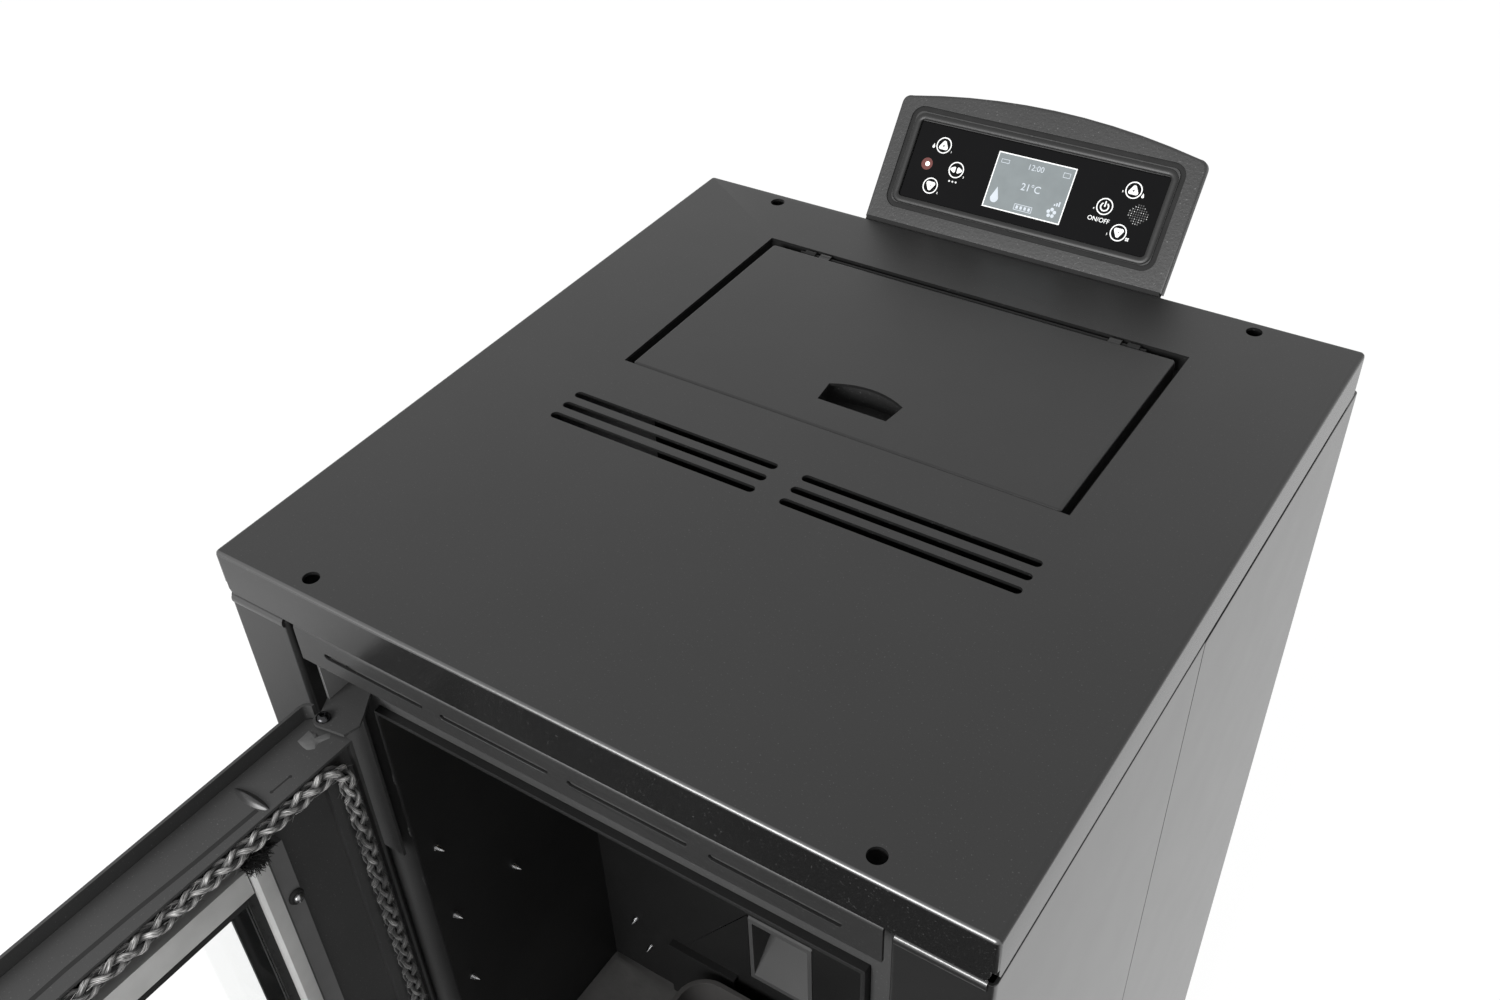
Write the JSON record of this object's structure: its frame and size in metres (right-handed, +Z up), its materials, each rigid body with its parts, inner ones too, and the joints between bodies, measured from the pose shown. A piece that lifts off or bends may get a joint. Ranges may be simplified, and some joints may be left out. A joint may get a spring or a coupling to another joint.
{
  "type": "pellet stove",
  "caption": "Freestanding wood-pellet stove with a glazed fire door, a top hopper lid, an ash drawer and a tilted control panel.",
  "frame": {"origin": "centre of the base plate's underside, between the four feet", "axes": "+Z up; +X to the right of a person facing the stove; -Y out of the front, +Y to the flue"},
  "size_m": [0.48, 0.939, 0.9791],
  "materials": {
    "black_paint": "satin black powder coat",
    "stove_paint": "matt black heat-resistant paint",
    "cast_iron": "as cast, sooty",
    "zinc_sheet": "galvanised sheet",
    "motor_steel": "plain steel",
    "steel_screw": "dark steel",
    "black_plastic": "fine-grained black plastic",
    "black_glass": "glossy black front with a display behind it",
    "clear_glass": "clear ceramic glass",
    "rope": "braided glass-fibre rope",
    "vermiculite": "pressed vermiculite board",
    "green_board": "printed circuit board with parts"
  },
  "bodies": {
    "cabinet": {"base_plate": "black_paint", "front_left_foot": "black_plastic", "front_right_foot": "black_plastic", "rear_left_foot": "black_plastic", "rear_right_foot": "black_plastic", "left_front_panel": "black_paint", "right_front_panel": "black_paint", "left_rear_panel": "black_paint", "right_rear_panel": "black_paint", "back_panel": "black_paint", "front_plate": "stove_paint", "lower_front_panel": "black_paint", "top_plate": "black_paint", "front_rail": "black_paint", "hopper": "zinc_sheet", "lid_hinge_pin": "steel_screw", "firebox": "stove_paint", "flame_baffle": "vermiculite", "burn_pot": "cast_iron", "igniter": "motor_steel", "pellet_chute": "zinc_sheet", "auger_tube": "zinc_sheet", "auger_tube_head": "zinc_sheet", "auger_motor": "motor_steel", "smoke_duct": "zinc_sheet", "exhaust_fan_housing": "zinc_sheet", "exhaust_motor": "motor_steel", "flue_outlet": "zinc_sheet", "air_intake": "zinc_sheet", "convection_fan_housing": "zinc_sheet", "convection_motor": "motor_steel", "top_hinge_bracket": "stove_paint", "bottom_hinge_bracket": "stove_paint", "top_pivot_screw": "steel_screw", "bottom_pivot_screw": "steel_screw", "latch_keeper": "zinc_sheet", "control_bracket": "black_paint", "control_cover": "black_plastic", "control_board": "green_board", "control_bezel": "black_plastic", "control_glass": "black_glass", "power_inlet": "black_plastic", "main_board": "green_board"},
    "fire_door": {"door_frame": "stove_paint", "door_skin": "black_paint", "door_rope": "rope", "door_glass": "clear_glass", "left_glass_retainer": "zinc_sheet", "right_glass_retainer": "zinc_sheet", "top_glass_retainer": "zinc_sheet", "bottom_glass_retainer": "zinc_sheet"},
    "door_latch": {"door_handle": "steel_screw"},
    "lid": {"hopper_lid": "black_paint", "finger_cup": "black_plastic"},
    "ash_drawer": {"ash_drawer_front": "black_paint", "ash_drawer_tray": "zinc_sheet"},
    "auger": {"auger_screw": "motor_steel"},
    "exhaust_fan": {"exhaust_impeller": "motor_steel"},
    "convection_fan": {"convection_impeller": "motor_steel"},
    "power_switch": {"rocker_switch": "black_plastic"}
  },
  "joints": [
    {"name": "door_hinge", "type": "hinge", "parent": "cabinet", "child": "fire_door", "pos_m": [-0.17, -0.259, 0.51], "axis": [0, 0, -1], "range_deg": [-91.5, 18.5], "deforming": ["door_rope"]},
    {"name": "door_handle_turn", "type": "hinge", "parent": "fire_door", "child": "door_latch", "pos_m": [-0.17914, -0.60788, 0.51], "axis": [-0.9997, 0.0262, 0], "range_deg": [0, 90]},
    {"name": "hopper_lid_hinge", "type": "hinge", "parent": "cabinet", "child": "lid", "pos_m": [0, 0.1886, 0.877], "axis": [-1, 0, 0], "range_deg": [0, 100]},
    {"name": "ash_drawer_slide", "type": "slide", "parent": "cabinet", "child": "ash_drawer", "axis": [0, -1, 0], "range_m": [0, 0.15]},
    {"name": "auger_spin", "type": "hinge", "parent": "cabinet", "child": "auger", "pos_m": [0.0096, 0.16, 0.416], "axis": [0, -0.7071, 0.7071], "continuous": true},
    {"name": "exhaust_fan_spin", "type": "hinge", "parent": "cabinet", "child": "exhaust_fan", "pos_m": [-0.1225, -0.005, 0.13], "axis": [1, 0, 0], "continuous": true},
    {"name": "convection_fan_spin", "type": "hinge", "parent": "cabinet", "child": "convection_fan", "pos_m": [0.105, 0, 0.11], "axis": [1, 0, 0], "continuous": true},
    {"name": "power_switch_tilt", "type": "hinge", "parent": "cabinet", "child": "power_switch", "pos_m": [0.185, 0.257, 0.0825], "axis": [1, 0, 0], "range_deg": [0, 16]}
  ]
}
